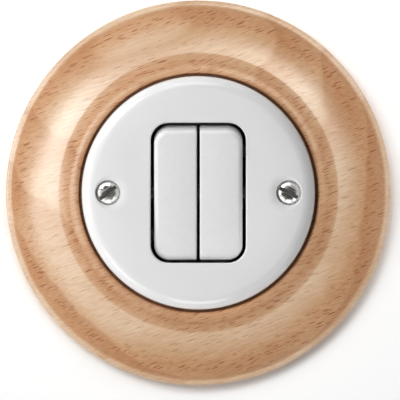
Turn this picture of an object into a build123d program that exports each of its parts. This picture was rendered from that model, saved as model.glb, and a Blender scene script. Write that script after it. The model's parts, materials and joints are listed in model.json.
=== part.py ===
from build123d import *
import math
import os

# Double rocker switch: a turned wooden frame, a glazed cover with two rockers in its window,
# and the sprung contact mechanism that reaches into the wall box behind it.
# Every piece is drawn face up: x to the right, y up the wall, z out of the wall, wall plane at z = 0.
# At the end each piece is stood up against the wall, so that z out of the wall becomes -Y.
# Lengths are in millimetres and angles in degrees.

# Wooden frame, from its opening outwards
frame_diameter = 120.0
frame_opening_diameter = 67.0
rebate_depth = 1.8
rebate_clearance = 0.85
bead_inner_radius = 1.1
bead_flat = 0.15
bead_radius = 2.9
bead_slope = 48.0
cove_radius = 9.0
cove_slope = 25.0
toe_radius = 1.2
shoulder_top_slope = 9.0
shoulder_foot_slope = 58.0
step_radius = 0.5
foot_slope = 6.0
foot_width = 1.7
foot_edge_radius = 0.8
foot_height = 3.2
plate_recess_clearance = 0.4

# Cover and its window
cover_diameter = 72.4
cover_height = 5.6
cover_wall = 4.0
cover_crown_slope = 8.0
cover_rim_radius = 4.4
cover_seat_edge_radius = 0.5
cover_flat_margin = 0.7
spigot_depth = 2.0
spigot_wall = 1.5
spigot_clearance = 0.4
window_width = 29.5
window_corner_radius = 5.6
window_edge_radius = 0.5

# Cover screws, their dished seats and the pillars that they are driven into
cover_screw_spacing = 56.0
dish_lip_radius = 6.5
dish_floor_radius = 0.8
dish_slope = 22.0
head_diameter = 7.1
head_ring_gap = 0.4
head_sink = 0.9
head_rim = 0.5
head_dome = 1.3
head_seat_clearance = 0.05
slot_width = 1.2
slot_depth = 1.0
left_slot_angle = 38.0
right_slot_angle = -28.5
cover_screw_diameter = 4.0
cover_screw_hole_diameter = 4.4
cover_screw_engagement = 9.0
thread_clearance = 0.05
pillar_diameter = 6.0
pillar_top_clearance = 0.3
pillar_bore_spare = 2.0
rivet_diameter = 4.0
rivet_clearance = 0.02

# Support plate
plate_screw_margin = 5.5
plate_thickness = 1.2
plate_opening_margin = 2.0
box_screw_spacing = 60.0
box_screw_hole_diameter = 4.2

# Rockers
rocker_side_gap = 1.1
rocker_centre_gap = 1.0
rocker_end_gap = 1.8
rocker_face_length = 39.8
rocker_face_proud = 0.4
rocker_pivot_depth = 7.5
rocker_tilt = 6.0
rocker_end_draft = 10.0
rocker_side_draft = 1.0
rocker_skirt = 6.8
rocker_wall = 1.3
rocker_top_wall = 1.7
rocker_crown_radius = 60.0
rocker_edge_radius = 1.7
rocker_inner_edge_radius = 0.6
rocker_outer_corner = 4.5
rocker_corner_growth = 0.4
rocker_relief_side = 2.5
rocker_relief_clearance = 1.0
clip_width = 5.0
clip_thickness = 1.0
clip_reach = 0.5
clip_nose = 1.0
clip_clearance = 0.15

# Axle, cradles and carrier
axle_diameter = 3.0
axle_fit_clearance = 0.02
axle_running_clearance = 0.05
axle_chamfer = 0.3
hub_diameter = 6.0
hub_side_clearance = 0.25
platform_length = 31.0
platform_thickness = 1.8
platform_side_clearance = 0.3
platform_top_clearance = 0.05
gusset_thickness = 1.4
web_thickness = 4.4
web_width = 8.0
ear_thickness = 2.0
centre_ear_thickness = 1.7
ear_top_diameter = 4.8
ear_foot_width = 10.0
carrier_floor = 3.0
carrier_inset = 0.2
carrier_corner_radius = 3.0
carrier_bridge_width = 3.2
carrier_opening_margin = 0.9
barrel_swing_clearance = 2.4
stop_thickness = 2.3
stop_clearance = 0.3

# Plungers and springs
barrel_diameter = 5.2
plunger_diameter = 3.2
plunger_clearance = 0.05
plunger_body_length = 9.0
plunger_reach = 3.2
plunger_stub_diameter = 1.6
plunger_stub_length = 2.4
spring_wire_diameter = 0.45
spring_turns = 5.0
spring_end_clearance = 0.06
spring_side_clearance = 0.15
bore_end_wall = 0.8
tip_gap = 0.2

# Contact levers and their knife edges
knife_depth = 7.0
knife_angle = 50.0
knife_thickness = 1.1
knife_width = 5.0
lever_tilt = 8.0
lever_arm = 9.0
lever_width = 4.0
lever_bend = 14.0
lever_thickness = 1.5
groove_angle = 90.0
groove_depth = 0.6
groove_clearance = 0.05
contact_arm = 8.0
contact_diameter = 2.6
contact_thickness = 0.7
contact_gap = 0.15
tip_diameter = 2.8
tip_height = 0.8
tip_dome = 0.25
rivet_tail_diameter = 1.4

# Contact strips and terminals
pan_head_round = 0.35
strip_thickness = 0.8
strip_width = 4.0
strip_slot_clearance = 0.15
common_bar_width = 3.2
common_bar_overhang = 2.3
tongue_length = 3.3
strip_tail = 2.4
terminal_screw_diameter = 3.0
terminal_head_diameter = 5.5
terminal_head_height = 2.2
terminal_screw_length = 9.0
terminal_slot_width = 0.8
terminal_slot_depth = 1.0
terminal_plate_width = 7.0
terminal_plate_height = 5.8
terminal_plate_thickness = 1.2
terminal_plate_clearance = 0.3

# Base behind the wall plane
base_width = 38.0
base_floor = 7.0
base_corner_radius = 2.0
base_back_chamfer = 0.8
bay_depth = 14.0
bay_end_clearance = 2.5
bay_end_wall = 1.5
bay_divider = 1.8
bay_side_wall = 5.8
terminal_ledge = 7.0
stop_pad_width = 6.5
stop_pad_length = 4.0
terminal_fin_thickness = 1.6
terminal_fin_depth = 6.0
base_screw_diameter = 3.0
base_screw_head_diameter = 5.0
base_screw_head_height = 1.6
base_screw_length = 14.0
base_screw_spare = 1.0
base_screw_edge = 3.4
base_screw_offset = 13.0
base_screw_slot_width = 0.8
base_screw_slot_depth = 0.9

# Sizes that follow from the ones above


def sine(angle):
    return math.sin(math.radians(angle))


def cosine(angle):
    return math.cos(math.radians(angle))


def tangent(angle):
    return math.tan(math.radians(angle))


cover_radius = cover_diameter / 2
frame_radius = frame_diameter / 2
opening_radius = frame_opening_diameter / 2
rebate_radius = cover_radius + rebate_clearance
bead_crest_radius = rebate_radius + bead_inner_radius + bead_flat
plate_radius = box_screw_spacing / 2 + plate_screw_margin
recess_radius = plate_radius + plate_recess_clearance
recess_depth = plate_thickness + plate_recess_clearance

bead_run = bead_radius * sine(bead_slope)
cove_run = cove_radius * (sine(bead_slope) - sine(cove_slope))
toe_run = toe_radius * (sine(cove_slope) - sine(shoulder_top_slope))
shoulder_run = frame_radius - foot_width - bead_crest_radius - bead_run - cove_run - toe_run
shoulder_radius = shoulder_run / (sine(shoulder_foot_slope) - sine(shoulder_top_slope))
step_run = step_radius * (sine(shoulder_foot_slope) - sine(foot_slope))
foot_edge_run = foot_edge_radius * (1 - sine(foot_slope))
tread_length = (foot_width - step_run - foot_edge_run) / cosine(foot_slope)


def moulding_curve():
    """The frame's moulding from the crest of its bead out to the foot, with the crest at height 0."""
    bead = JernArc((bead_crest_radius, 0), (1, 0), bead_radius, -bead_slope)
    cove = JernArc(bead @ 1, bead % 1, cove_radius, bead_slope - cove_slope)
    toe = JernArc(cove @ 1, cove % 1, toe_radius, cove_slope - shoulder_top_slope)
    shoulder = JernArc(toe @ 1, toe % 1, shoulder_radius, shoulder_top_slope - shoulder_foot_slope)
    step = JernArc(shoulder @ 1, shoulder % 1, step_radius, shoulder_foot_slope - foot_slope)
    tread = Line(step @ 1, step @ 1 + (step % 1) * tread_length)
    edge = JernArc(tread @ 1, tread % 1, foot_edge_radius, foot_slope - 90)
    return [bead, cove, toe, shoulder, step, tread, edge]


moulding = moulding_curve()
crest_z = foot_height - (moulding[-1] @ 1).Y

cover_seat_z = crest_z - rebate_depth
cover_front_z = crest_z + cover_height
cover_back_z = cover_front_z - cover_wall
spigot_outer_radius = opening_radius - spigot_clearance
spigot_inner_radius = spigot_outer_radius - spigot_wall
window_height = rocker_face_length + 2 * rocker_end_gap
window_corner_reach = math.hypot(
    window_width / 2 - window_corner_radius,
    window_height / 2 - window_corner_radius,
)
cover_flat_radius = window_corner_reach + window_corner_radius + cover_flat_margin
cover_rim_run = cover_rim_radius * (1 - sine(cover_crown_slope))
cover_crown_radius = (cover_radius - cover_rim_run - cover_flat_radius) / sine(cover_crown_slope)

screw_x = cover_screw_spacing / 2
head_radius = head_diameter / 2
seat_radius = head_radius + head_ring_gap
dish_depth = (dish_lip_radius + dish_floor_radius) * (1 - cosine(dish_slope))
dish_radius = seat_radius + (dish_lip_radius + dish_floor_radius) * sine(dish_slope)
cone_top_depth = dish_depth + head_sink
seat_drop = head_seat_clearance / cosine(45)
head_cone_depth = cone_top_depth + head_ring_gap - seat_drop
pillar_top_z = cover_back_z - pillar_top_clearance
screw_end_z = pillar_top_z - cover_screw_engagement

rocker_width = (window_width - 2 * rocker_side_gap - rocker_centre_gap) / 2
rocker_x = (rocker_centre_gap + rocker_width) / 2
pivot_z = cover_front_z + rocker_face_proud - rocker_pivot_depth
rocker_skirt_z = rocker_pivot_depth - rocker_skirt
rocker_skirt_length = rocker_face_length + 2 * rocker_skirt * tangent(rocker_end_draft)
rocker_underside_z = rocker_pivot_depth - rocker_top_wall
platform_top_z = rocker_underside_z - platform_top_clearance
platform_bottom_z = platform_top_z - platform_thickness
platform_width = rocker_width - 2 * (rocker_wall + platform_side_clearance)
relief_half_width = ear_foot_width / 2 + rocker_relief_side
relief_top_z = ear_top_diameter / 2 + rocker_relief_clearance

axle_radius = axle_diameter / 2
hub_half_width = rocker_x - centre_ear_thickness / 2 - hub_side_clearance
outer_ear_inner_x = rocker_x + hub_half_width + hub_side_clearance
outer_ear_outer_x = outer_ear_inner_x + ear_thickness
carrier_top_z = plate_thickness + carrier_floor
base_half_width = base_width / 2
carrier_half_width = base_half_width - carrier_inset
carrier_half_height = rocker_skirt_length / 2
stop_outer_y = carrier_half_height
stop_top_z = (
    pivot_z
    - carrier_half_height * sine(rocker_tilt)
    + rocker_skirt_z * cosine(rocker_tilt)
    - stop_clearance
)

fulcrum_z = -knife_depth
lever_front = groove_clearance + lever_thickness - groove_depth
plunger_radius = plunger_diameter / 2
tip_centre_z = fulcrum_z + lever_front + (plunger_radius + tip_gap) / cosine(lever_bend)
tip_length = pivot_z - tip_centre_z
barrel_length = tip_length - plunger_reach
barrel_bore_radius = plunger_radius + plunger_clearance
bore_start = hub_diameter / 2 + bore_end_wall
plunger_back = tip_length - plunger_body_length
spring_outer_radius = barrel_bore_radius - spring_side_clearance
spring_mean_radius = spring_outer_radius - spring_wire_diameter / 2
spring_length = plunger_back - bore_start - 2 * spring_end_clearance
barrel_swing = (pivot_z - plate_thickness) * sine(rocker_tilt) + barrel_diameter / 2
carrier_opening_half = barrel_swing + barrel_swing_clearance
carrier_opening_inner_x = carrier_bridge_width / 2
carrier_opening_outer_x = outer_ear_inner_x - carrier_opening_margin

base_depth = bay_depth + base_floor
bay_half_height = lever_arm + bay_end_clearance
block_half_height = bay_half_height + bay_end_wall
base_half_height = block_half_height + terminal_ledge
base_height = 2 * base_half_height
bay_outer_x = base_half_width - bay_side_wall
floor_z = -bay_depth
strip_front_z = floor_z + strip_thickness
terminal_y = block_half_height + terminal_plate_clearance + terminal_plate_height / 2
strip_end_y = terminal_y + strip_tail
base_screw_x = base_half_width - base_screw_edge
base_bore_z = carrier_top_z - base_screw_length - base_screw_spare


# Small helpers


def turned(outline, axis_x=0.0, axis_y=0.0):
    """A solid of revolution from a closed outline of radius and height, on an axis along z."""
    section = Plane.XZ * make_face(outline)
    return Pos(axis_x, axis_y, 0) * revolve(section, Axis.Z)


def bar(x0, x1, y0, y1, z0, z1):
    """A block between two corners."""
    size = (x1 - x0, y1 - y0, z1 - z0)
    return Pos((x0 + x1) / 2, (y0 + y1) / 2, (z0 + z1) / 2) * Box(*size)


def rod(radius, x, y, z0, z1):
    """A round rod or bore along z between two heights."""
    return Pos(x, y, (z0 + z1) / 2) * Cylinder(radius, z1 - z0)


def cross_rod(radius, x0, x1):
    """A round rod or bore along x through the origin's height."""
    return Pos((x0 + x1) / 2, 0, 0) * (Rot(0, 90, 0) * Cylinder(radius, x1 - x0))


def side_profile(points, x_centre, width):
    """A profile drawn in y and z, given its width along x."""
    face = Plane.YZ * make_face(Polyline(*points, close=True))
    return Pos(x_centre - width / 2, 0, 0) * extrude(face, amount=width, dir=(1, 0, 0))


def on_axle(piece):
    """Places a piece drawn about the rocker axle at its tilted rest position."""
    return Pos(0, 0, pivot_z) * (Rot(rocker_tilt, 0, 0) * piece)


def on_knife(piece):
    """Places a piece drawn about its knife edge at its tilted rest position."""
    return Pos(0, 0, fulcrum_z) * (Rot(-lever_tilt, 0, 0) * piece)


# Wooden frame: one turned ring with a rebate that takes the cover and a recess for the support plate


def make_wooden_frame():
    curve = [Pos(0, crest_z) * piece for piece in moulding]
    rebate = Polyline(
        (opening_radius, cover_seat_z),
        (rebate_radius, cover_seat_z),
        (rebate_radius, crest_z - bead_inner_radius),
    )
    bead_inside = JernArc(rebate @ 1, (0, 1), bead_inner_radius, -90)
    bead_top = Line(bead_inside @ 1, (bead_crest_radius, crest_z))
    back = Polyline(
        (frame_radius, foot_height),
        (frame_radius, 0),
        (recess_radius, 0),
        (recess_radius, recess_depth),
        (opening_radius, recess_depth),
        (opening_radius, cover_seat_z),
    )
    return turned([rebate, bead_inside, bead_top, *curve, back])


# Cover: glazed shell with a crowned face, a rounded rim, a register spigot, the window and screw seats


def make_cover_plate():
    face = Line((0, cover_front_z), (cover_flat_radius, cover_front_z))
    crown = JernArc(face @ 1, (1, 0), cover_crown_radius, -cover_crown_slope)
    rim = JernArc(crown @ 1, crown % 1, cover_rim_radius, cover_crown_slope - 90)
    edge = Line(rim @ 1, (cover_radius, cover_seat_z + cover_seat_edge_radius))
    seat_edge = JernArc(edge @ 1, (0, -1), cover_seat_edge_radius, -90)
    back = Polyline(
        seat_edge @ 1,
        (spigot_outer_radius, cover_seat_z),
        (spigot_outer_radius, cover_seat_z - spigot_depth),
        (spigot_inner_radius, cover_seat_z - spigot_depth),
        (spigot_inner_radius, cover_back_z),
        (0, cover_back_z),
        (0, cover_front_z),
    )
    cover = turned([face, crown, rim, edge, seat_edge, back])
    window = RectangleRounded(window_width, window_height, window_corner_radius)
    cover -= Pos(0, 0, cover_back_z) * extrude(window, amount=cover_wall)
    front = cover.faces().filter_by(Plane.XY).sort_by(Axis.Z)[-1]
    cover = fillet(front.inner_wires()[0].edges(), window_edge_radius)
    for side in (-1, 1):
        cover -= screw_seat(side * screw_x)
    return cover


def screw_seat(x):
    """The cutter for one soft dish with its conical seat and through hole."""
    hole_radius = cover_screw_hole_diameter / 2
    above = cover_front_z + cover_wall
    lip = JernArc((dish_radius, cover_front_z), (-1, 0), dish_lip_radius, dish_slope)
    floor = JernArc(lip @ 1, lip % 1, dish_floor_radius, -dish_slope)
    cone_top_z = cover_front_z - cone_top_depth
    rest = Polyline(
        (seat_radius, cover_front_z - dish_depth),
        (seat_radius, cone_top_z),
        (hole_radius, cone_top_z - (seat_radius - hole_radius)),
        (hole_radius, cover_back_z - cover_wall),
        (0, cover_back_z - cover_wall),
        (0, above),
        (dish_radius, above),
        (dish_radius, cover_front_z),
    )
    return turned([lip, floor, rest], x)


# Cover screws: raised countersunk heads with a driver slot, shown at the angles they were left at


def make_cover_screw(x, slot_angle):
    shank_radius = cover_screw_diameter / 2
    rim_bottom_z = cover_front_z - head_cone_depth
    rim_top_z = rim_bottom_z + head_rim
    dome_radius = (head_radius**2 + head_dome**2) / (2 * head_dome)
    dome = RadiusArc((0, rim_top_z + head_dome), (head_radius, rim_top_z), dome_radius)
    flank = Polyline(
        (head_radius, rim_top_z),
        (head_radius, rim_bottom_z),
        (shank_radius, rim_bottom_z - (head_radius - shank_radius)),
        (shank_radius, screw_end_z),
        (0, screw_end_z),
        (0, rim_top_z + head_dome),
    )
    screw = turned([dome, flank], x)
    slot_floor = rim_top_z + head_dome - slot_depth
    slot = Box(2 * head_diameter, slot_width, slot_depth, align=(Align.CENTER, Align.CENTER, Align.MIN))
    return screw - Pos(x, 0, slot_floor) * (Rot(0, 0, slot_angle) * slot)


def make_cover_screws():
    return [
        make_cover_screw(-screw_x, left_slot_angle),
        make_cover_screw(screw_x, right_slot_angle),
    ]


# Support plate and the two tapped pillars riveted to it


def base_screw_places():
    return [(base_screw_x, base_screw_offset), (-base_screw_x, -base_screw_offset)]


def make_support_plate():
    plate = rod(plate_radius, 0, 0, 0, plate_thickness)
    opening_width = 2 * (carrier_opening_outer_x + plate_opening_margin)
    opening_height = 2 * (carrier_opening_half + plate_opening_margin)
    opening = RectangleRounded(opening_width, opening_height, base_corner_radius)
    plate -= extrude(opening, amount=plate_thickness)
    for side in (-1, 1):
        plate -= rod(box_screw_hole_diameter / 2, 0, side * box_screw_spacing / 2, 0, plate_thickness)
        plate -= rod(rivet_diameter / 2 + rivet_clearance, side * screw_x, 0, 0, plate_thickness)
    for x, y in base_screw_places():
        plate -= rod(base_screw_diameter / 2 + thread_clearance, x, y, 0, plate_thickness)
    return plate


def make_threaded_pillars():
    bore_radius = cover_screw_diameter / 2 + thread_clearance
    pillars = []
    for side in (-1, 1):
        x = side * screw_x
        pillar = rod(pillar_diameter / 2, x, 0, plate_thickness, pillar_top_z)
        pillar += rod(rivet_diameter / 2, x, 0, 0, plate_thickness)
        pillar -= rod(bore_radius, x, 0, screw_end_z - pillar_bore_spare, pillar_top_z)
        pillars.append(pillar)
    return pillars


# Rocker caps: hollow tapered shells with a crowned face, drawn about the axle for the right-hand side


def rocker_outline(width, length, outer_corner):
    """A rectangle with large corners on its outer side and square ones beside the centre gap."""
    outline = Rectangle(width, length)
    return fillet(outline.vertices().group_by(Axis.X)[-1], outer_corner)


def rocker_block(inset, top_z):
    """The tapered block of a rocker, drawn in on its sides and ends by an inset."""
    side_growth = 2 * rocker_skirt * tangent(rocker_side_draft)
    top = rocker_outline(
        rocker_width - 2 * inset,
        rocker_face_length - 2 * inset,
        rocker_outer_corner - inset,
    )
    bottom = rocker_outline(
        rocker_width + side_growth - 2 * inset,
        rocker_skirt_length - 2 * inset,
        rocker_outer_corner + rocker_corner_growth - inset,
    )
    return loft([Pos(0, 0, top_z - rocker_skirt) * bottom, Pos(0, 0, top_z) * top], ruled=True)


def make_rocker_cap(side):
    crown_axis = Pos(0, 0, rocker_pivot_depth - rocker_crown_radius) * Rot(90, 0, 0)
    block = rocker_block(0, rocker_pivot_depth)
    block &= crown_axis * Cylinder(rocker_crown_radius, 2 * rocker_face_length)
    around = block.faces().sort_by(Axis.Z)[-1].outer_wire().edges().sort_by(Axis.X)
    cap = fillet(around[1:], rocker_edge_radius)
    beside_gap = cap.faces().sort_by(Axis.Z)[-1].outer_wire().edges().sort_by(Axis.X)[0]
    cap = fillet(beside_gap, rocker_inner_edge_radius)
    cap -= rocker_block(rocker_wall, rocker_underside_z)
    cap -= bar(
        -rocker_width,
        rocker_width,
        -relief_half_width,
        relief_half_width,
        rocker_skirt_z - rocker_relief_clearance,
        relief_top_z,
    )
    hook_inner_y = platform_length / 2 + clip_clearance
    hook_tip_z = platform_bottom_z - clip_clearance
    for end in (-1, 1):
        hook = [
            (end * hook_inner_y, rocker_underside_z + rocker_top_wall / 2),
            (end * hook_inner_y, hook_tip_z),
            (end * (hook_inner_y - clip_reach), hook_tip_z),
            (end * hook_inner_y, hook_tip_z - clip_nose),
            (end * (hook_inner_y + clip_thickness), hook_tip_z - clip_nose),
            (end * (hook_inner_y + clip_thickness), rocker_underside_z + rocker_top_wall / 2),
        ]
        cap += side_profile(hook, 0, clip_width)
    if side < 0:
        cap = mirror(cap, about=Plane.YZ)
    return on_axle(Pos(side * rocker_x, 0, 0) * cap)


# Rocker cradles: hub on the axle, platform under the cap, gussets and the plunger barrel


def make_rocker_cradle(side):
    half_platform = platform_length / 2
    cradle = cross_rod(hub_diameter / 2, -hub_half_width, hub_half_width)
    cradle += bar(
        -platform_width / 2,
        platform_width / 2,
        -half_platform,
        half_platform,
        platform_bottom_z,
        platform_top_z,
    )
    cradle += bar(
        -web_width / 2,
        web_width / 2,
        -web_thickness / 2,
        web_thickness / 2,
        0,
        platform_bottom_z + platform_thickness / 2,
    )
    gusset = [
        (-half_platform, platform_bottom_z + platform_thickness / 2),
        (-half_platform, platform_bottom_z),
        (-hub_diameter / 2, 0),
        (hub_diameter / 2, 0),
        (half_platform, platform_bottom_z),
        (half_platform, platform_bottom_z + platform_thickness / 2),
    ]
    for edge in (-1, 1):
        cradle += side_profile(gusset, edge * (web_width - gusset_thickness) / 2, gusset_thickness)
    cradle += rod(barrel_diameter / 2, 0, 0, -barrel_length, 0)
    cradle -= rod(barrel_bore_radius, 0, 0, -barrel_length, -bore_start)
    cradle -= cross_rod(axle_radius + axle_running_clearance, -hub_half_width, hub_half_width)
    return on_axle(Pos(side * rocker_x, 0, 0) * cradle)


# Plungers with a round tip and a stub that centres the spring


def make_plunger(side):
    plunger = rod(plunger_radius, 0, 0, -tip_length, -plunger_back)
    plunger += Pos(0, 0, -tip_length) * Sphere(plunger_radius)
    plunger += rod(plunger_stub_diameter / 2, 0, 0, -plunger_back, plunger_stub_length - plunger_back)
    return on_axle(Pos(side * rocker_x, 0, 0) * plunger)


def make_plunger_spring(side):
    wire_radius = spring_wire_diameter / 2
    rise = spring_length - spring_wire_diameter
    path = Helix(rise / spring_turns, rise, spring_mean_radius)
    wire = sweep(Plane(path @ 0, z_dir=path % 0) * Circle(wire_radius), path=path)
    bottom = -plunger_back + spring_end_clearance + wire_radius
    return on_axle(Pos(side * rocker_x, 0, bottom) * wire)


# Axle pin and the moulded carrier with its bearing ears and end stops


def make_axle_pin():
    half_length = outer_ear_outer_x
    pin = cross_rod(axle_radius, -half_length, half_length)
    ends = pin.edges().filter_by(GeomType.CIRCLE)
    return Pos(0, 0, pivot_z) * chamfer(ends, axle_chamfer)


def carrier_ear(x0, x1):
    """One upright bearing ear, wide at its foot and round over the axle."""
    ear_radius = ear_top_diameter / 2
    foot = [
        (-ear_foot_width / 2, carrier_top_z),
        (-ear_radius, pivot_z),
        (ear_radius, pivot_z),
        (ear_foot_width / 2, carrier_top_z),
    ]
    ear = side_profile(foot, (x0 + x1) / 2, x1 - x0)
    ear += Pos(0, 0, pivot_z) * cross_rod(ear_radius, x0, x1)
    return ear


def make_rocker_carrier():
    outline = RectangleRounded(2 * carrier_half_width, 2 * carrier_half_height, carrier_corner_radius)
    carrier = Pos(0, 0, plate_thickness) * extrude(outline, amount=carrier_floor)
    for side in (-1, 1):
        ear_ends = sorted((side * outer_ear_inner_x, side * outer_ear_outer_x))
        carrier += carrier_ear(*ear_ends)
        hole_x = sorted((side * carrier_opening_inner_x, side * carrier_opening_outer_x))
        hole_y = (-carrier_opening_half, carrier_opening_half)
        carrier -= bar(*hole_x, *hole_y, plate_thickness, carrier_top_z)
        stop_ends = sorted((side * stop_outer_y, side * (stop_outer_y - stop_thickness)))
        carrier += bar(-outer_ear_inner_x, outer_ear_inner_x, *stop_ends, carrier_top_z, stop_top_z)
    carrier += carrier_ear(-centre_ear_thickness / 2, centre_ear_thickness / 2)
    axle_bore = cross_rod(axle_radius + axle_fit_clearance, -carrier_half_width, carrier_half_width)
    carrier -= Pos(0, 0, pivot_z) * axle_bore
    for x, y in base_screw_places():
        carrier -= rod(base_screw_diameter / 2 + thread_clearance, x, y, plate_thickness, carrier_top_z)
    return carrier


# Base screws: pan heads on the carrier, driven through the plate into the base


def slotted_pan_screw(diameter, height, shank_diameter, length, slot_size, slot_cut):
    """A slotted screw whose head stands on z = 0, with its shank below."""
    radius = diameter / 2
    head = rod(radius, 0, 0, 0, height)
    head = fillet(head.edges().group_by(Axis.Z)[-1], pan_head_round * height)
    head -= bar(-radius, radius, -slot_size / 2, slot_size / 2, height - slot_cut, height)
    return head + rod(shank_diameter / 2, 0, 0, -length, 0)


def make_base_screws():
    screw = slotted_pan_screw(
        base_screw_head_diameter,
        base_screw_head_height,
        base_screw_diameter,
        base_screw_length,
        base_screw_slot_width,
        base_screw_slot_depth,
    )
    return [Pos(x, y, carrier_top_z) * screw for x, y in base_screw_places()]


# Contact levers: bent brass bars that rock on the knife edges


def make_contact_lever(side):
    rise = lever_arm * tangent(lever_bend)
    back = lever_front - lever_thickness
    bent_bar = [
        (-lever_arm, lever_front + rise),
        (0, lever_front),
        (lever_arm, lever_front + rise),
        (lever_arm, back + rise),
        (0, back),
        (-lever_arm, back + rise),
    ]
    lever = side_profile(bent_bar, 0, lever_width)
    groove_foot = back - lever_thickness
    groove_half = (groove_clearance - groove_foot) * tangent(groove_angle / 2)
    groove = [(0, groove_clearance), (-groove_half, groove_foot), (groove_half, groove_foot)]
    lever -= side_profile(groove, 0, lever_width)
    tail_hole = rod(rivet_tail_diameter / 2, 0, 0, -lever_thickness, 2 * lever_thickness)
    lever -= contact_place(tail_hole)
    return on_knife(Pos(side * rocker_x, 0, 0) * lever)


def contact_place(piece):
    """Places a piece on the back of the lever's lower arm, with z along the way the arm faces."""
    back = lever_front - lever_thickness
    seat_z = back + contact_arm * tangent(lever_bend)
    return Pos(0, -contact_arm, seat_z) * (Rot(-lever_bend, 0, 0) * piece)


def make_moving_contact(side):
    head = rod(contact_diameter / 2, 0, 0, -contact_thickness, 0)
    tail_length = lever_thickness * cosine(lever_bend)
    tail = rod(rivet_tail_diameter / 2 - rivet_clearance, 0, 0, 0, tail_length)
    return on_knife(Pos(side * rocker_x, 0, 0) * contact_place(head + tail))


def closed_contact_point():
    """Height and position of the moving contact's face when its rocker is pressed at the top."""
    back = lever_front - lever_thickness
    y = -contact_arm - contact_thickness * sine(lever_bend)
    z = back + contact_arm * tangent(lever_bend) - contact_thickness * cosine(lever_bend)
    closed_y = y * cosine(lever_tilt) - z * sine(lever_tilt)
    closed_z = y * sine(lever_tilt) + z * cosine(lever_tilt)
    return closed_y, fulcrum_z + closed_z


contact_y, contact_face_z = closed_contact_point()
tip_top_z = contact_face_z - contact_gap
tongue_top_z = tip_top_z - tip_height
tongue_bottom_z = tongue_top_z - strip_thickness


# Contact strips: the common strip with both knife edges, and the two outgoing strips


def make_common_contact():
    half_bar = rocker_x + common_bar_overhang
    half_depth = common_bar_width / 2
    half_strip = strip_width / 2
    strip = bar(-half_bar, half_bar, -half_depth, half_depth, floor_z, strip_front_z)
    strip += bar(-half_strip, half_strip, 0, strip_end_y, floor_z, strip_front_z)
    half_knife = knife_thickness / 2
    flank = half_knife / tangent(knife_angle / 2)
    upright = [
        (0, fulcrum_z),
        (-half_knife, fulcrum_z - flank),
        (-half_knife, floor_z),
        (half_knife, floor_z),
        (half_knife, fulcrum_z - flank),
    ]
    for side in (-1, 1):
        strip += side_profile(upright, side * rocker_x, knife_width)
    screw_hole = terminal_screw_diameter / 2 + thread_clearance
    return strip - rod(screw_hole, 0, terminal_y, floor_z, strip_front_z)


def make_fixed_contact(side):
    x = side * rocker_x
    half_strip = strip_width / 2
    riser_y = contact_y - tongue_length / 2 - strip_thickness / 2
    ends = (x - half_strip, x + half_strip)
    strip = bar(*ends, -strip_end_y, riser_y, floor_z, strip_front_z)
    strip += bar(*ends, riser_y - strip_thickness, riser_y, floor_z, tongue_top_z)
    strip += bar(*ends, riser_y, riser_y + tongue_length, tongue_bottom_z, tongue_top_z)
    strip -= rod(rivet_tail_diameter / 2, x, contact_y, tongue_bottom_z, tongue_top_z)
    screw_hole = terminal_screw_diameter / 2 + thread_clearance
    return strip - rod(screw_hole, x, -terminal_y, floor_z, strip_front_z)


def make_fixed_contact_tips():
    tip_radius = tip_diameter / 2
    dome_radius = (tip_radius**2 + tip_dome**2) / (2 * tip_dome)
    tail_radius = rivet_tail_diameter / 2 - rivet_clearance
    dome = RadiusArc((0, tip_top_z), (tip_radius, tip_top_z - tip_dome), dome_radius)
    flank = Polyline(
        (tip_radius, tip_top_z - tip_dome),
        (tip_radius, tongue_top_z),
        (tail_radius, tongue_top_z),
        (tail_radius, tongue_bottom_z),
        (0, tongue_bottom_z),
        (0, tip_top_z),
    )
    return [turned([dome, flank], side * rocker_x, contact_y) for side in (-1, 1)]


# Terminals: a square clamping plate and a screw on each strip end, facing the back


def terminal_places():
    return [(0, terminal_y), (-rocker_x, -terminal_y), (rocker_x, -terminal_y)]


def make_terminal_plates():
    half_width = terminal_plate_width / 2
    half_height = terminal_plate_height / 2
    plate_back_z = floor_z - terminal_plate_thickness
    hole_radius = terminal_screw_diameter / 2 + thread_clearance
    plates = []
    for x, y in terminal_places():
        ends = (x - half_width, x + half_width, y - half_height, y + half_height)
        plates.append(bar(*ends, plate_back_z, floor_z) - rod(hole_radius, x, y, plate_back_z, floor_z))
    return plates


def make_terminal_screws():
    screw = slotted_pan_screw(
        terminal_head_diameter,
        terminal_head_height,
        terminal_screw_diameter,
        terminal_screw_length,
        terminal_slot_width,
        terminal_slot_depth,
    )
    facing_back = Rot(180, 0, 0) * screw
    head_z = floor_z - terminal_plate_thickness
    return [Pos(x, y, head_z) * facing_back for x, y in terminal_places()]


# Base: moulded block with two contact bays, terminal ledges above and below, and a fin between terminals


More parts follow.
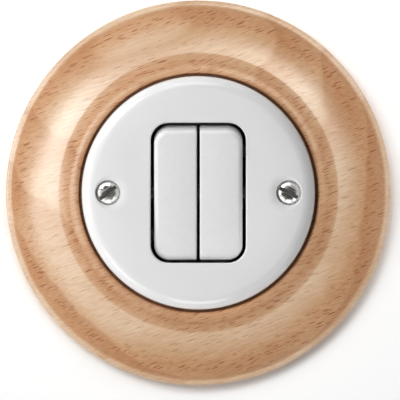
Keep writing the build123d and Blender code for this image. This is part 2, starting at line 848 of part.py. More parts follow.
def make_switch_base():
    outline = RectangleRounded(base_width, base_height, base_corner_radius)
    base = Pos(0, 0, -base_depth) * extrude(outline, amount=base_depth)
    base = chamfer(base.faces().sort_by(Axis.Z)[0].edges(), base_back_chamfer)
    slot_top_z = strip_front_z + strip_slot_clearance
    half_slot = strip_width / 2 + strip_slot_clearance
    for end in (-1, 1):
        ledge_ends = sorted((end * block_half_height, end * base_half_height))
        base -= bar(-base_half_width, base_half_width, *ledge_ends, -base_depth, strip_front_z)
        bay_ends = sorted((end * bay_divider / 2, end * bay_outer_x))
        base -= bar(*bay_ends, -bay_half_height, bay_half_height, floor_z, 0)
        slot_ends = (end * rocker_x - half_slot, end * rocker_x + half_slot)
        base -= bar(*slot_ends, -block_half_height, -bay_half_height, floor_z, slot_top_z)
        pad_ends = (end * rocker_x - stop_pad_width / 2, end * rocker_x + stop_pad_width / 2)
        base += bar(*pad_ends, bay_half_height - stop_pad_length, bay_half_height, floor_z, fulcrum_z)
    bar_foot_y = -common_bar_width / 2 - strip_slot_clearance
    base -= bar(-half_slot, half_slot, bar_foot_y, block_half_height, floor_z, slot_top_z)
    fin_ends = (-base_half_height, -block_half_height)
    half_fin = terminal_fin_thickness / 2
    base += bar(-half_fin, half_fin, *fin_ends, strip_front_z - terminal_fin_depth, strip_front_z)
    tapped_radius = terminal_screw_diameter / 2 + thread_clearance
    for x, y in terminal_places():
        base -= rod(tapped_radius, x, y, strip_front_z, strip_front_z + terminal_screw_length)
    for x, y in base_screw_places():
        base -= rod(base_screw_diameter / 2 + thread_clearance, x, y, base_bore_z, 0)
    return base


# All pieces, one node each

nodes = {
    "wooden_frame": [make_wooden_frame()],
    "cover_plate": [make_cover_plate()],
    "cover_screws": make_cover_screws(),
    "support_plate": [make_support_plate()],
    "threaded_pillars": make_threaded_pillars(),
    "rocker_carrier": [make_rocker_carrier()],
    "axle_pin": [make_axle_pin()],
    "base_screws": make_base_screws(),
    "switch_base": [make_switch_base()],
    "common_contact": [make_common_contact()],
    "fixed_contact_tips": make_fixed_contact_tips(),
    "terminal_plates": make_terminal_plates(),
    "terminal_screws": make_terminal_screws(),
}
for side_name, side in (("left", -1), ("right", 1)):
    nodes[f"rocker_cap_{side_name}"] = [make_rocker_cap(side)]
    nodes[f"rocker_cradle_{side_name}"] = [make_rocker_cradle(side)]
    nodes[f"plunger_spring_{side_name}"] = [make_plunger_spring(side)]
    nodes[f"plunger_{side_name}"] = [make_plunger(side)]
    nodes[f"contact_lever_{side_name}"] = [make_contact_lever(side)]
    nodes[f"moving_contact_{side_name}"] = [make_moving_contact(side)]
    nodes[f"fixed_contact_{side_name}"] = [make_fixed_contact(side)]

# Stand every piece up against the wall and write it out

os.makedirs("parts", exist_ok=True)
stand_up = Rot(90, 0, 0)
for name, pieces in nodes.items():
    solids = [solid for piece in pieces for solid in (stand_up * piece).solids()]
    export_step(Compound(children=solids), f"parts/{name}.step")

print(f"bead crest {crest_z:.3f}, cover front {cover_front_z:.3f}, axle {pivot_z:.3f} in front of the wall")
print(f"shoulder radius {shoulder_radius:.3f}, crown radius {cover_crown_radius:.3f}")
print(f"tip length {tip_length:.3f}, barrel length {barrel_length:.3f}, spring length {spring_length:.3f}")
print(f"contact at {contact_y:.3f}, {contact_face_z:.3f}, stop top {stop_top_z:.3f}")
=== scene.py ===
# %% [markdown]
# # Double rocker switch in a turned wooden frame
# The switch hangs on a white wall and is seen straight from the front. Its solids come from the CAD
# frame, in metres, with x to the right, z up the wall and the front facing -y. This lesson dresses
# them: beech, glaze, moulded plastic and metal are built from nodes, and the two coil springs get
# merged copies.

# %% Load the frame
import json
import math

import bmesh
import bpy
from mathutils import Matrix, Vector


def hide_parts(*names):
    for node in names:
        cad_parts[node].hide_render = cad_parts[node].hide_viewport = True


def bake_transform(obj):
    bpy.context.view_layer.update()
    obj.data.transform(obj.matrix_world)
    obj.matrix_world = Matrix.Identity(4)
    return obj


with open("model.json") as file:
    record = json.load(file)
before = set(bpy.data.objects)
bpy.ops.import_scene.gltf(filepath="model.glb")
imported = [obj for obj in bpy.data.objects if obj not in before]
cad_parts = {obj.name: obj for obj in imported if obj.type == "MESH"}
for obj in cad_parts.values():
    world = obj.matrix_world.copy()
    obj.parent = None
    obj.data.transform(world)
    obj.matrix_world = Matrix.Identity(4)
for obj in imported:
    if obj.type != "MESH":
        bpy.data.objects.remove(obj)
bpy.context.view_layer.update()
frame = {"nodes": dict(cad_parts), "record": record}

MM = 0.001

nodes = frame["nodes"]
scene = bpy.context.scene
scene.view_settings.view_transform = "Standard"

# %% [markdown]
# Small helpers serve every finish. Colours are easiest to read as the sRGB hex values of a paint chart,
# but shader sockets want linear light, so one function turns the first into the second. Another adds a
# node, sets its properties, and fills its inputs with numbers or with links. Patterns are sized in
# millimetres, and the last one turns such a size into a texture scale.

# %% Helpers for colours, nodes and sizes


def linear(hex_colour):
    """Turn an sRGB hex colour such as "C89E7A" into linear red, green, blue and alpha."""
    steps = [int(hex_colour[i:i + 2], 16) / 255 for i in (0, 2, 4)]
    return (*[s / 12.92 if s <= 0.04045 else ((s + 0.055) / 1.055) ** 2.4 for s in steps], 1.0)


def add_node(tree, kind, inputs=None, **settings):
    """Add one node; inputs maps a socket's name or number to a value or to an output socket."""
    node = tree.nodes.new(kind)
    for name, value in settings.items():
        setattr(node, name, value)
    for socket, value in (inputs or {}).items():
        if isinstance(value, bpy.types.NodeSocket):
            tree.links.new(value, node.inputs[socket])
        else:
            node.inputs[socket].default_value = value
    return node


def per_metre(size_mm):
    """The texture scale at which one cell of a pattern measures size_mm."""
    return 1 / (size_mm * MM)


print("a mid grey in linear light:", [round(v, 3) for v in linear("808080")])

# %% [markdown]
# ## Camera
# The picture is 400 pixels wide and the ring fills almost all of it. A long lens far away keeps the
# sides of the ring from showing, as in a catalogue picture. The ring sits a little left of and above
# the middle of the frame, so the lens is shifted by that many pixels rather than turned.

# %% Camera
FRAME_PIXELS = 400
FRAME_WIDTH = 124.9 * MM
CAMERA_DISTANCE = 2.6
RING_LEFT_PIXELS = 1.7
RING_UP_PIXELS = 7.2
SENSOR_WIDTH_MM = 36.0
FARTHEST_SEEN = 20.0

camera_data = bpy.data.cameras.new("front_camera")
camera_data.sensor_width = SENSOR_WIDTH_MM
camera_data.lens = SENSOR_WIDTH_MM * CAMERA_DISTANCE / FRAME_WIDTH
camera_data.shift_x = RING_LEFT_PIXELS / FRAME_PIXELS
camera_data.shift_y = -RING_UP_PIXELS / FRAME_PIXELS
camera_data.clip_end = FARTHEST_SEEN
camera = bpy.data.objects.new("front_camera", camera_data)
camera.location = (0, -CAMERA_DISTANCE, 0)
camera.rotation_euler = (math.radians(90), 0, 0)
scene.collection.objects.link(camera)
scene.camera = camera
print("lens in mm:", round(camera_data.lens))

# %% [markdown]
# ## Wall
# A plain white sheet stands just behind the ring and takes the soft shadow that the ring throws down
# and to the right. It is one face of a grid, turned upright. From behind the camera looks through the
# sheet, because the mechanism reaches through the wall there.

# %% Wall sheet
WALL_HALF = 1.2
WALL_GAP = 0.3 * MM

sheet = bmesh.new()
bmesh.ops.create_grid(sheet, x_segments=1, y_segments=1, size=WALL_HALF)
bmesh.ops.rotate(sheet, verts=sheet.verts, matrix=Matrix.Rotation(math.radians(90), 3, "X"))
bmesh.ops.translate(sheet, verts=sheet.verts, vec=(0, WALL_GAP, 0))
wall_mesh = bpy.data.meshes.new("wall_sheet")
sheet.to_mesh(wall_mesh)
sheet.free()
wall = bpy.data.objects.new("wall_sheet", wall_mesh)
scene.collection.objects.link(wall)
print("wall sheet normal:", tuple(round(v, 2) for v in wall_mesh.polygons[0].normal))

# %% [markdown]
# Matt white paint is a plain diffuse shader. Light Path and Geometry tell a camera ray that meets the
# back of the sheet, and only that ray is let through.

# %% Wall paint
wall_paint = bpy.data.materials.new("white_wall_paint")
wall_paint.use_nodes = True
paint = wall_paint.node_tree
paint.nodes.clear()
rays = add_node(paint, "ShaderNodeLightPath").outputs
facing = add_node(paint, "ShaderNodeNewGeometry").outputs
matt = add_node(paint, "ShaderNodeBsdfDiffuse", {"Color": linear("FAFAFA")})
clear = add_node(paint, "ShaderNodeBsdfTransparent")
behind = add_node(paint, "ShaderNodeMath", {0: rays["Is Camera Ray"], 1: facing["Backfacing"]},
                  operation="MULTIPLY").outputs[0]
wall_mix = add_node(paint, "ShaderNodeMixShader",
                    {0: behind, 1: matt.outputs[0], 2: clear.outputs[0]})
add_node(paint, "ShaderNodeOutputMaterial", {"Surface": wall_mix.outputs[0]})
wall_mesh.materials.append(wall_paint)
print("wall paint nodes:", len(paint.nodes))

# %% [markdown]
# ## Light
# A catalogue picture like this is lit piece by piece. Soft boxes stand in rings round the lens, and
# light linking, Blender's answer to the flags of a studio, lets each one reach one group only. The
# white insert gets boxes far out to the side, which leave flat faces calm and give rounded edges a
# gleam. The wooden frame has its key on the left, and the wall its own boxes, strongest at the upper
# left, so that the shadow falls down and to the right. A fill box gives light without gloss and a gleam
# box gloss without light, because a lamp can be hidden from either kind of ray. Two boxes behind the
# wall shine through the sheet and show the mechanism. A box's power is worked out from the light that
# it should give at the object, where level 1 would bring white paper to white.

# %% Soft boxes
LIGHT_AIM = Vector((0, -15 * MM, 0))
LIGHT_DISTANCE = 0.9
BOX_SIDE = 0.42
# each box: its angle round the picture from the right, its angle from the lens, and its level
BOXES = {
    "insert": [(135, 62, 0.31), (180, 62, 0.11), (225, 62, 0.2), (270, 62, 0.22), (315, 62, 0.09),
               (95, 62, 0.22)],
    "insert_fill": [(150, 38, 0.3), (255, 38, 0.1)],
    "wood_key": [(160, 26, 0.29), (180, 62, 0.38)],
    "wood_fill": [(325, 26, 0.14), (110, 60, 0.21), (235, 55, 0.12), (315, 55, 0.15), (30, 55, 0.25)],
    "wood_gleam": [(157, 40, 0.5), (50, 34, 0.4), (212, 38, 0.14)],
    "wall": [(115, 26, 0.32), (0, 26, 0.08), (145, 42, 0.43), (90, 44, 0.19), (55, 46, 0.15),
             (195, 48, 0.18), (312, 50, 0.15)],
    "back": [(150, 156, 0.42), (40, 152, 0.3)],
}


def soft_box(name, clock, off_axis, level):
    """Hang a square lamp that looks at the switch from the given angles."""
    lamp = bpy.data.lights.new(name, "AREA")
    lamp.shape = "SQUARE"
    lamp.size = BOX_SIDE
    lamp.energy = level * math.pi**2 * LIGHT_DISTANCE**2
    box = bpy.data.objects.new(name, lamp)
    around, out = math.radians(clock), math.radians(off_axis)
    sideways = math.sin(out)
    towards = Vector((sideways * math.cos(around), -math.cos(out), sideways * math.sin(around)))
    box.location = LIGHT_AIM + towards * LIGHT_DISTANCE
    box.rotation_euler = towards.to_track_quat("Z", "Y").to_euler()
    scene.collection.objects.link(box)
    return box


print("soft boxes:", {group: len(boxes) for group, boxes in BOXES.items()})

# %% [markdown]
# A lamp's receiver collection lists what it lights, or what it passes by where a member is set to
# exclude. The wall is also taken out of what blocks the boxes at the back, or they would stay dark.

# %% Hang and link the boxes
WOOD = [nodes["wooden_frame"]]
REACHES = {"wood_key": WOOD, "wood_fill": WOOD, "wood_gleam": WOOD, "wall": [wall]}
PASSES_BY = {"insert": WOOD + [wall], "insert_fill": WOOD + [wall], "back": [wall]}

for group, boxes in BOXES.items():
    linked = bpy.data.collections.new("light_link_" + group)
    for obj in REACHES.get(group, []) + PASSES_BY.get(group, []):
        linked.objects.link(obj)
    if group in PASSES_BY:
        for member in linked.collection_objects:
            member.light_linking.link_state = "EXCLUDE"
    for clock, off_axis, level in boxes:
        box = soft_box(f"{group}_box_{clock}_{off_axis}", clock, off_axis, level)
        box.light_linking.receiver_collection = linked
        if group == "back":
            box.light_linking.blocker_collection = linked
        box.visible_glossy = not group.endswith("_fill")
        box.visible_diffuse = not group.endswith("_gleam")

# %% [markdown]
# The sky itself hardly lights anything. The camera sees it white, and gloss sees it as a white room
# with a dark end behind the camera, which is what gives polished metal its blacks.

# %% Sky
SKY_LEVEL = 0.02
SEEN_LEVEL = 1.0
ROOM_DARK, ROOM_WHITE = 0.08, 0.95
ROOM_DARK_TO, ROOM_WHITE_FROM = -0.72, -0.5

world = bpy.data.worlds.new("studio_sky")
scene.world = world
world.use_nodes = True
sky = world.node_tree
sky.nodes.clear()
sky_rays = add_node(sky, "ShaderNodeLightPath").outputs
way = add_node(sky, "ShaderNodeTexCoord").outputs["Generated"]
depth = add_node(sky, "ShaderNodeSeparateXYZ", {0: way}).outputs["Y"]
room = add_node(sky, "ShaderNodeMapRange",
                {"Value": depth, "From Min": ROOM_DARK_TO, "From Max": ROOM_WHITE_FROM,
                 "To Min": ROOM_DARK, "To Max": ROOM_WHITE}, interpolation_type="SMOOTHSTEP").outputs[0]
gloss = add_node(sky, "ShaderNodeMath",
                 {0: sky_rays["Is Glossy Ray"], 1: sky_rays["Is Transmission Ray"]},
                 operation="MAXIMUM").outputs[0]
unseen = add_node(sky, "ShaderNodeMix",
                  {"Factor": gloss, "A": SKY_LEVEL, "B": room}).outputs["Result"]
strength = add_node(sky, "ShaderNodeMix",
                    {"Factor": sky_rays["Is Camera Ray"], "A": unseen, "B": SEEN_LEVEL}).outputs["Result"]
sky_light = add_node(sky, "ShaderNodeBackground", {"Color": linear("FFFFFF"), "Strength": strength})
add_node(sky, "ShaderNodeOutputWorld", {"Surface": sky_light.outputs[0]})
print("sky for light, dark end and white room:", SKY_LEVEL, ROOM_DARK, ROOM_WHITE)

# %% [markdown]
# ## Finishes
# Every finish starts as a Principled shader with a name, and the pieces that share it are listed
# beside it. A CAD node keeps its mesh, so only its material slot is filled.

# %% Start and give out a finish


def new_finish(name, **sockets):
    """A material named for what it is, its node tree and its Principled shader."""
    material = bpy.data.materials.new(name)
    material.use_nodes = True
    tree = material.node_tree
    tree.nodes.clear()
    values = {socket.replace("_", " "): value for socket, value in sockets.items()}
    shader = add_node(tree, "ShaderNodeBsdfPrincipled", values)
    add_node(tree, "ShaderNodeOutputMaterial", {"Surface": shader.outputs[0]})
    return material, tree, shader


def dress(material, *names):
    """Give CAD nodes a finish by filling their material slot."""
    for name in names:
        mesh = nodes[name].data
        mesh.materials.clear()
        mesh.materials.append(material)


print("nodes waiting for a finish:", len(nodes))

# %% [markdown]
# ### Beech
# The ring is turned from one flat board, so the grain runs straight across it and climbs to the right,
# whatever the shape of the moulding. Painting it on would need a map for every face, but solid patterns
# on Object coordinates follow the wood by themselves. Fibres are a noise that is drawn out along the
# grain, and a much larger one clouds the colour.

# %% Beech: the board and its fibres
GRAIN_RISE = 20.0
FIBRE_MM = (5.5, 1.6, 0.42)
CLOUD_MM = (60.0, 20.0, 14.0)

# satin lacquer over turned wood: the gleam is in the coat and also painted pale into the crests' colour
beech, tree, shader = new_finish("turned_beech_satin_lacquer", Roughness=0.5, Specular_IOR_Level=0.15,
                                 Coat_Roughness=0.36, Coat_IOR=1.85)
place = add_node(tree, "ShaderNodeTexCoord").outputs["Object"]
board = add_node(tree, "ShaderNodeMapping",
                 {"Vector": place, "Rotation": (0, math.radians(GRAIN_RISE), 0)}).outputs[0]


def along_grain(size_mm):
    """Board coordinates in which one unit is size_mm long, deep and wide."""
    return add_node(tree, "ShaderNodeMapping",
                    {"Vector": board, "Scale": tuple(per_metre(s) for s in size_mm)}).outputs[0]


fibre = add_node(tree, "ShaderNodeTexNoise",
                 {"Vector": along_grain(FIBRE_MM), "Scale": 1.0, "Detail": 4.0,
                  "Roughness": 0.62}).outputs["Fac"]
cloud = add_node(tree, "ShaderNodeTexNoise",
                 {"Vector": along_grain(CLOUD_MM), "Scale": 1.0, "Detail": 2.0}).outputs["Fac"]
print("fibres", FIBRE_MM[0], "by", FIBRE_MM[2], "mm, grain climbs by", GRAIN_RISE, "degrees")

# %% [markdown]
# Growth rings are cylinders about a pith line behind the board, and the lathe cuts them into tongues.
# The distance from the pith, counted in years, runs from soft early wood to dense late wood and drops
# back. Fibres fray the edges of the rings, and the clouds make them wander.

# %% Beech: growth rings
PITH_BEHIND = 74 * MM
PITH_BELOW = 22 * MM
RING_WIDTH = 9.0 * MM
RING_FRAY = 2.6 * MM
RING_WANDER = 7.0 * MM
EARLY_UNTIL, LATE_FULL, LATE_ENDS = 0.1, 0.9, 0.96
ACROSS_GRAIN = (0, 1, 1)

from_pith = add_node(tree, "ShaderNodeMapping",
                     {"Vector": board, "Location": (0, -PITH_BEHIND, PITH_BELOW),
                      "Scale": ACROSS_GRAIN}).outputs[0]
distance = add_node(tree, "ShaderNodeVectorMath", {0: from_pith}, operation="LENGTH").outputs["Value"]
frayed = add_node(tree, "ShaderNodeMath", {0: fibre, 1: RING_FRAY, 2: distance},
                  operation="MULTIPLY_ADD").outputs[0]
wandered = add_node(tree, "ShaderNodeMath", {0: cloud, 1: RING_WANDER, 2: frayed},
                    operation="MULTIPLY_ADD").outputs[0]
years = add_node(tree, "ShaderNodeMath", {0: wandered, 1: RING_WIDTH}, operation="DIVIDE").outputs[0]
year = add_node(tree, "ShaderNodeMath", {0: years}, operation="FRACT").outputs[0]
seasons = add_node(tree, "ShaderNodeValToRGB", {0: year})
seasons.color_ramp.elements[0].position = EARLY_UNTIL
seasons.color_ramp.elements[1].position = LATE_FULL
seasons.color_ramp.elements.new(LATE_ENDS).color = (0, 0, 0, 1)
late = seasons.outputs[0]
print("growth rings", round(RING_WIDTH / MM, 1), "mm apart")

# %% [markdown]
# Beech is known by its rays, the short brown flecks along the grain. A Voronoi texture drops one point
# into every cell. The distance to that point, stretched along the grain, is a thin lens, and the random
# colour of the cell sets its size, so that some cells stay empty.

# %% Beech: ray flecks
FLECK_MM = (4.4, 7.0, 0.42)
FLECK_REACH = (-0.02, 0.46)
FLECK_EDGE = 0.09

flecks = add_node(tree, "ShaderNodeTexVoronoi", {"Vector": along_grain(FLECK_MM), "Scale": 1.0},
                  voronoi_dimensions="3D", feature="F1").outputs
fleck_size = add_node(tree, "ShaderNodeMapRange",
                      {"Value": flecks["Color"], "To Min": FLECK_REACH[0],
                       "To Max": FLECK_REACH[1]}).outputs[0]
fleck_depth = add_node(tree, "ShaderNodeMath", {0: fleck_size, 1: flecks["Distance"]},
                       operation="SUBTRACT").outputs[0]
fleck = add_node(tree, "ShaderNodeMapRange", {"Value": fleck_depth, "From Max": FLECK_EDGE},
                 interpolation_type="SMOOTHSTEP").outputs[0]
print("one fleck in", FLECK_MM[0], "by", FLECK_MM[2], "mm")

# %% [markdown]
# A colour ramp over the distance from the axis paints a sheen on the crests of the moulding: pale
# paint stands in for the gleam of the lacquer, and the hollows are left in painted shade. Its stops lie
# at the radii of bead, cove and shoulder. The painted sheen fades out towards the edge, and the fade is
# centred a little to the left of the axis, so that the side facing the key light stays pale for longer.

# %% Beech: painted sheen on the crests
PAINTED_SHEEN_STOPS_MM = [(37.0, 0.0), (38.7, 0.4), (40.4, 0.15), (43.0, 0.35), (43.8, 1.0), (60.0, 1.0)]
FADE_CENTRE = (-2.4 * MM, 0, 0.6 * MM)
FADE_FROM, FADE_TO = 45.0 * MM, 56.0 * MM
ACROSS_AXIS = (1, 0, 1)

from_axis = add_node(tree, "ShaderNodeMapping", {"Vector": place, "Scale": ACROSS_AXIS}).outputs[0]
radius = add_node(tree, "ShaderNodeVectorMath", {0: from_axis}, operation="LENGTH").outputs["Value"]
inner_mm, outer_mm = PAINTED_SHEEN_STOPS_MM[0][0], PAINTED_SHEEN_STOPS_MM[-1][0]
across = add_node(tree, "ShaderNodeMapRange",
                  {"Value": radius, "From Min": inner_mm * MM, "From Max": outer_mm * MM}).outputs[0]
# painted sheen: pale paint on the crests stands in for the lacquer's gleam, the hollows get painted shade
painted_sheen_ramp = add_node(tree, "ShaderNodeValToRGB", {0: across})
stops = painted_sheen_ramp.color_ramp.elements
for radius_mm, _ in PAINTED_SHEEN_STOPS_MM[1:-1]:
    stops.new((radius_mm - inner_mm) / (outer_mm - inner_mm))
for stop, (_, amount) in zip(stops, PAINTED_SHEEN_STOPS_MM):
    stop.color = (amount, amount, amount, 1)
# the fade is centred left, towards the key light, so the painted sheen reaches further on the lit side
shifted = add_node(tree, "ShaderNodeVectorMath", {0: place, 1: FADE_CENTRE},
                   operation="SUBTRACT").outputs[0]
from_fade = add_node(tree, "ShaderNodeMapping", {"Vector": shifted, "Scale": ACROSS_AXIS}).outputs[0]
fade_radius = add_node(tree, "ShaderNodeVectorMath", {0: from_fade},
                       operation="LENGTH").outputs["Value"]
fade = add_node(tree, "ShaderNodeMapRange",
                {"Value": fade_radius, "From Min": FADE_TO, "From Max": FADE_FROM},
                interpolation_type="SMOOTHSTEP").outputs[0]
shoulder = add_node(tree, "ShaderNodeMath", {0: painted_sheen_ramp.outputs[0], 1: fade},
                    operation="MULTIPLY").outputs[0]
print("polish stops:", len(stops))

# %% [markdown]
# The thin foot gets the same painted sheen all round. The flat back, which lies on the wall, was only
# sanded and stays between the two tones. The growth rings raise or lower the painted sheen by a share,
# early wood more than late wood. The rebate round the cover gets painted shade, a dark tint that
# deepens the gap between cover and wood.

# %% Beech: foot, back and rebate
FOOT_FROM, FOOT_TO = 57.8 * MM, 58.7 * MM
BACK_BARE_TO, FRONT_FROM = -0.2 * MM, -1.0 * MM
BACK_PALENESS = 0.5
EARLY_SHARE, LATE_SHARE = 1.12, 0.86
REBATE_EDGE, REBATE_END = 37.3 * MM, 37.0 * MM

# painted sheen on the thin foot
foot = add_node(tree, "ShaderNodeMapRange",
                {"Value": radius, "From Min": FOOT_FROM, "From Max": FOOT_TO}).outputs[0]
crest_and_foot_sheen = add_node(tree, "ShaderNodeMath", {0: shoulder, 1: foot}, operation="MAXIMUM").outputs[0]
height = add_node(tree, "ShaderNodeSeparateXYZ", {0: place}).outputs["Y"]
off_wall = add_node(tree, "ShaderNodeMapRange",
                    {"Value": height, "From Min": BACK_BARE_TO, "From Max": FRONT_FROM}).outputs[0]
sheen_and_coat_mask = add_node(tree, "ShaderNodeMix",
                  {"Factor": off_wall, "A": BACK_PALENESS, "B": crest_and_foot_sheen}).outputs["Result"]
# the growth rings raise or lower the painted sheen
grain_share = add_node(tree, "ShaderNodeMapRange",
                 {"Value": late, "To Min": EARLY_SHARE, "To Max": LATE_SHARE}).outputs[0]
pale = add_node(tree, "ShaderNodeMath", {0: sheen_and_coat_mask, 1: grain_share}, operation="MULTIPLY",
                use_clamp=True).outputs[0]
# painted shade: a dark tint in the rebate round the cover deepens the gap
painted_shade_in_rebate = add_node(tree, "ShaderNodeMapRange",
                     {"Value": radius, "From Min": REBATE_EDGE, "From Max": REBATE_END}).outputs[0]
print("foot pale from, rebate dark to, in mm:", round(FOOT_FROM / MM, 1), round(REBATE_EDGE / MM, 1))

# %% [markdown]
# Each pattern is now laid over the tone as a multiplied tint, so that the colours stay those of wood,
# and the last tint is the painted shade of the rebate. Flecks and fibres show less under painted sheen.

# %% Beech: colour
# the pale beech is painted sheen, the deep beech the wood's own tone
DEEP_BEECH, PAINTED_SHEEN_BEECH = "DAAC84", "EBD0B1"
CLOUD_TINT, LATE_TINT, FIBRE_TINT = "F6EEE4", "F1E5DA", "ECDFD1"
FLECK_TINT, REBATE_PAINTED_SHADE = "C69164", "8E7D6C"
CLOUD_FROM, CLOUD_TO = 0.35, 0.65
FIBRE_FROM, FIBRE_TO = 0.36, 0.66
FIBRES_ON_PALE = 0.8
FLECKS_ON_PALE = 0.5

cloud_amount = add_node(tree, "ShaderNodeMapRange",
                        {"Value": cloud, "From Min": CLOUD_FROM, "From Max": CLOUD_TO}).outputs[0]
fibre_dark = add_node(tree, "ShaderNodeMapRange",
                      {"Value": fibre, "From Min": FIBRE_FROM, "From Max": FIBRE_TO}).outputs[0]
fibre_share = add_node(tree, "ShaderNodeMapRange",
                       {"Value": pale, "To Min": 1.0, "To Max": FIBRES_ON_PALE}).outputs[0]
fibre_amount = add_node(tree, "ShaderNodeMath", {0: fibre_dark, 1: fibre_share},
                        operation="MULTIPLY").outputs[0]
fleck_share = add_node(tree, "ShaderNodeMapRange",
                       {"Value": pale, "To Min": 1.0, "To Max": FLECKS_ON_PALE}).outputs[0]
fleck_amount = add_node(tree, "ShaderNodeMath", {0: fleck, 1: fleck_share},
                        operation="MULTIPLY").outputs[0]
wood = add_node(tree, "ShaderNodeMix",
                {"Factor": pale, "A": linear(DEEP_BEECH), "B": linear(PAINTED_SHEEN_BEECH)},
                data_type="RGBA").outputs["Result"]
# the last tint is the painted shade of the rebate
for amount, shade in ((cloud_amount, CLOUD_TINT), (late, LATE_TINT), (fibre_amount, FIBRE_TINT),
                      (fleck_amount, FLECK_TINT), (painted_shade_in_rebate, REBATE_PAINTED_SHADE)):
    wood = add_node(tree, "ShaderNodeMix", {"Factor": amount, "A": wood, "B": linear(shade)},
                    data_type="RGBA", blend_type="MULTIPLY").outputs["Result"]
tree.links.new(wood, shader.inputs["Base Color"])
print("beech from", DEEP_BEECH, "to", PAINTED_SHEEN_BEECH)

# %% [markdown]
# The mask of the painted sheen also sets the weight of the coat, so the crests gleam more than the
# hollows. The fibres stand out of it by a hundredth of a millimetre, which breaks up the gleam.

# %% Beech: gloss and relief
COAT_IN_HOLLOWS, COAT_ON_CRESTS = 0.08, 0.76
FIBRE_RELIEF = 0.010 * MM

coat = add_node(tree, "ShaderNodeMapRange",
                {"Value": sheen_and_coat_mask, "To Min": COAT_IN_HOLLOWS, "To Max": COAT_ON_CRESTS}).outputs[0]
tree.links.new(coat, shader.inputs["Coat Weight"])
relief = add_node(tree, "ShaderNodeBump", {"Height": fibre, "Distance": FIBRE_RELIEF}).outputs[0]
tree.links.new(relief, shader.inputs["Normal"])
tree.links.new(relief, shader.inputs["Coat Normal"])
dress(beech, "wooden_frame")
print("beech nodes:", len(tree.nodes))

# %% [markdown]
# ### Uneven surfaces
# No real surface is one flat colour: glaze pools, mouldings are mottled, plating is spangled and brass
# tarnishes in clouds. One noise of the right size can carry all three signs of that at once, so a
# single function lets it mix two colours, swing the roughness and lift a slight relief.

# %% Uneven colour, gloss and relief
PATCH_FROM, PATCH_TO = 0.32, 0.68


def uneven(tree, shader, size_mm, colours, roughness, relief_mm, detail=3.0):
    """Vary a finish by a noise whose patches measure size_mm, one number for each axis."""
    place = add_node(tree, "ShaderNodeTexCoord").outputs["Object"]
    scaled = add_node(tree, "ShaderNodeMapping",
                      {"Vector": place, "Scale": tuple(per_metre(s) for s in size_mm)}).outputs[0]
    noise = add_node(tree, "ShaderNodeTexNoise",
                     {"Vector": scaled, "Scale": 1.0, "Detail": detail}).outputs["Fac"]
    patch = add_node(tree, "ShaderNodeMapRange",
                     {"Value": noise, "From Min": PATCH_FROM, "From Max": PATCH_TO}).outputs[0]
    colour = add_node(tree, "ShaderNodeMix",
                      {"Factor": patch, "A": linear(colours[0]), "B": linear(colours[1])},
                      data_type="RGBA").outputs["Result"]
    gloss = add_node(tree, "ShaderNodeMapRange",
                     {"Value": patch, "To Min": roughness[0], "To Max": roughness[1]}).outputs[0]
    relief = add_node(tree, "ShaderNodeBump", {"Height": noise, "Distance": relief_mm * MM}).outputs[0]
    tree.links.new(colour, shader.inputs["Base Color"])
    tree.links.new(gloss, shader.inputs["Roughness"])
    tree.links.new(relief, shader.inputs["Normal"])


print("patches run from", PATCH_FROM, "to", PATCH_TO, "of the noise")

# %% [markdown]
# ### White glaze and white plastic
# The cover is glazed porcelain: a hard, smooth white whose glaze ran a little in the kiln, so that
# reflections waver over a couple of centimetres. The rockers are pressed from white urea in a
# polished mould. Their skin is a shade duller, with the fine orange peel of every moulding.

# %% Glaze and plastic
# fired glaze: clear, sharp reflections that waver slowly
glaze, tree, shader = new_finish("white_glazed_porcelain", IOR=1.5)
uneven(tree, shader, (18, 18, 18), ("F6F6F6", "F3F3F3"), (0.11, 0.16), 0.03, detail=1.0)
dress(glaze, "cover_plate")
# pressed urea: a softer shine; its peel is finer than a pixel and drawn at 1.4 mm
plastic, tree, shader = new_finish("polished_white_urea_moulding", IOR=1.5)
uneven(tree, shader, (1.4, 1.4, 1.4), ("F6F6F6", "F3F3F3"), (0.2, 0.26), 0.0015)
dress(plastic, "rocker_cap_left", "rocker_cap_right")
print("white finishes:", glaze.name, plastic.name)

# %% [markdown]
# ### Bright screws
# The cover screws are nickel plated over brass and have been turned by a driver before, so the domes
# are mirror bright with fine scratches along the slot. The two slots stand at different angles, and
# the sign of x tells the screws apart, so each gets its scratches along its own slot.

# %% Nickel
SLOT_ANGLES = (38.0, -28.5)
SCRATCH_MM = (5.0, 3.0, 0.22)
SCRATCH_RELIEF = 0.006 * MM
BRIGHT_NICKEL, WORN_NICKEL = "E6E4E0", "B8B6B1"
DULL_FROM, DULL_TO = 0.42, 0.66
BRIGHT_ROUGHNESS, DULL_ROUGHNESS = 0.12, 0.5

# plated and scratched: bright highlights, nearly black where the dark end of the room shows
nickel, tree, shader = new_finish("bright_nickel_plate", Metallic=1.0)
place = add_node(tree, "ShaderNodeTexCoord").outputs["Object"]
sideways = add_node(tree, "ShaderNodeSeparateXYZ", {0: place}).outputs["X"]
on_right = add_node(tree, "ShaderNodeMath", {0: sideways, 1: 0.0}, operation="GREATER_THAN").outputs[0]
along_slot = [add_node(tree, "ShaderNodeMapping",
                       {"Vector": place, "Rotation": (0, math.radians(angle), 0)}).outputs[0]
              for angle in SLOT_ANGLES]
turned = add_node(tree, "ShaderNodeMix", {"Factor": on_right, "A": along_slot[0], "B": along_slot[1]},
                  data_type="VECTOR").outputs["Result"]
scaled = add_node(tree, "ShaderNodeMapping",
                  {"Vector": turned, "Scale": tuple(per_metre(s) for s in SCRATCH_MM)}).outputs[0]
scratch = add_node(tree, "ShaderNodeTexNoise",
                   {"Vector": scaled, "Scale": 1.0, "Detail": 2.0}).outputs["Fac"]
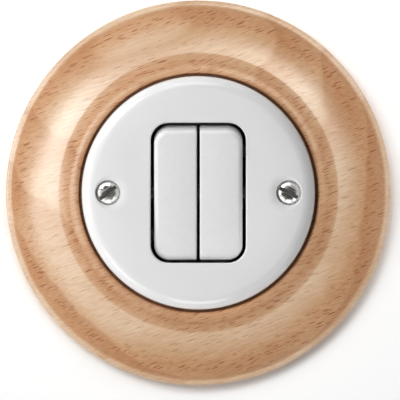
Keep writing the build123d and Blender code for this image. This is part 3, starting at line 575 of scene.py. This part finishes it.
worn = add_node(tree, "ShaderNodeMix",
                {"Factor": scratch, "A": linear(BRIGHT_NICKEL), "B": linear(WORN_NICKEL)},
                data_type="RGBA").outputs["Result"]
dull = add_node(tree, "ShaderNodeMapRange",
                {"Value": scratch, "From Min": DULL_FROM, "From Max": DULL_TO,
                 "To Min": BRIGHT_ROUGHNESS, "To Max": DULL_ROUGHNESS}).outputs[0]
relief = add_node(tree, "ShaderNodeBump", {"Height": scratch, "Distance": SCRATCH_RELIEF}).outputs[0]
tree.links.new(worn, shader.inputs["Base Color"])
tree.links.new(dull, shader.inputs["Roughness"])
tree.links.new(relief, shader.inputs["Normal"])
dress(nickel, "cover_screws")
print("scratches", SCRATCH_MM[2], "mm apart along the slots")

# %% [markdown]
# ### Metals of the mechanism
# Behind the cover nothing is polished. Zinc plate has a soft bluish spangle, stamped brass tarnishes
# in brown clouds where fingers held it, drawn spring wire is streaked along its length, and the
# silver contacts have yellowed a little. Real plating grains are finer than a pixel, so the spangle
# is drawn at the size of the patches that the eye sees.

# %% Zinc, brass, wire and silver
# zinc plate: cool grey with a blurred sheen
zinc, tree, shader = new_finish("zinc_plated_steel", Metallic=1.0)
uneven(tree, shader, (2.6, 2.6, 2.6), ("CDD0D4", "AEB2B8"), (0.28, 0.46), 0.004)
dress(zinc, "support_plate", "axle_pin", "base_screws", "terminal_plates", "terminal_screws")
# stamped brass: warm yellow, browner and duller in clouds
brass, tree, shader = new_finish("stamped_brass", Metallic=1.0)
uneven(tree, shader, (4.5, 4.5, 4.5), ("DEC079", "B68F52"), (0.2, 0.44), 0.006)
dress(brass, "threaded_pillars", "common_contact", "fixed_contact_left", "fixed_contact_right",
      "contact_lever_left", "contact_lever_right")
# drawn wire: darker grey with fine streaks; the springs take it below
wire, tree, shader = new_finish("drawn_spring_steel_wire", Metallic=1.0)
uneven(tree, shader, (0.9, 0.16, 0.9), ("B4B5B7", "8C8E92"), (0.22, 0.4), 0.004)
# rolled silver alloy: the palest metal, yellowed in spots
silver, tree, shader = new_finish("rolled_silver_contact_alloy", Metallic=1.0)
uneven(tree, shader, (0.9, 0.9, 0.9), ("EAE8E3", "C9BFA9"), (0.24, 0.42), 0.003)
dress(silver, "fixed_contact_tips", "moving_contact_left", "moving_contact_right")
print("mechanism metals:", zinc.name, brass.name, wire.name, silver.name)

# %% [markdown]
# ### Mouldings of the mechanism
# The base and the carrier are pressed from a dark thermoset with wood flour in it, which leaves a fine
# pale speckle and a dull skin. Cradles and plungers are ivory polyamide, waxy and slightly mottled, so
# a trace of subsurface light softens their edges.

# %% Thermoset and polyamide
WAX_DEPTH = 0.6 * MM

# pressed thermoset: nearly black, dull, with a pale speckle
dark, tree, shader = new_finish("dark_thermoset_with_wood_flour", IOR=1.6)
uneven(tree, shader, (0.7, 0.7, 0.7), ("211E1C", "3A3430"), (0.42, 0.6), 0.01, detail=5.0)
dress(dark, "rocker_carrier", "switch_base")
# moulded polyamide: cream coloured and waxy, with soft edges
ivory, tree, shader = new_finish("ivory_polyamide", IOR=1.53, Subsurface_Weight=0.2,
                                 Subsurface_Scale=WAX_DEPTH)
uneven(tree, shader, (5.0, 5.0, 5.0), ("E4DFD0", "D6CFBB"), (0.38, 0.52), 0.004)
dress(ivory, "rocker_cradle_left", "rocker_cradle_right", "plunger_left", "plunger_right")
print("mouldings:", dark.name, ivory.name)

# %% [markdown]
# ## Spring copies
# A plunger that is pushed in squeezes its spring, but a CAD node can only move as a whole. Each spring
# is therefore copied and its points are merged, and the copy stands for the node, which is hidden. The
# copy's length along its slide is printed.

# %% Springs
MERGE_WITHIN = 0.001 * MM
CREASE_ANGLE = 40.0

slides = {joint["name"]: Vector(joint["axis"]) for joint in frame["record"]["behaviour"]["joints"]}
for side in ("left", "right"):
    node = "plunger_spring_" + side
    coils = bmesh.new()
    coils.from_mesh(nodes[node].data)
    bmesh.ops.remove_doubles(coils, verts=coils.verts, dist=MERGE_WITHIN)
    mesh = bpy.data.meshes.new("coil_spring_" + side)
    coils.to_mesh(mesh)
    coils.free()
    mesh.shade_smooth()
    mesh.set_sharp_from_angle(angle=math.radians(CREASE_ANGLE))
    mesh.materials.append(wire)
    spring = bpy.data.objects.new(mesh.name, mesh)
    scene.collection.objects.link(spring)
    slide = slides[f"plunger_{side}_slide"]
    along = [vertex.co.dot(slide) for vertex in mesh.vertices]
    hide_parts(node)
    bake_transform(spring)
    length_mm = round((max(along) - min(along)) / MM, 2)
    print(spring.name, "has", len(mesh.vertices), "merged points and is", length_mm, "mm long")
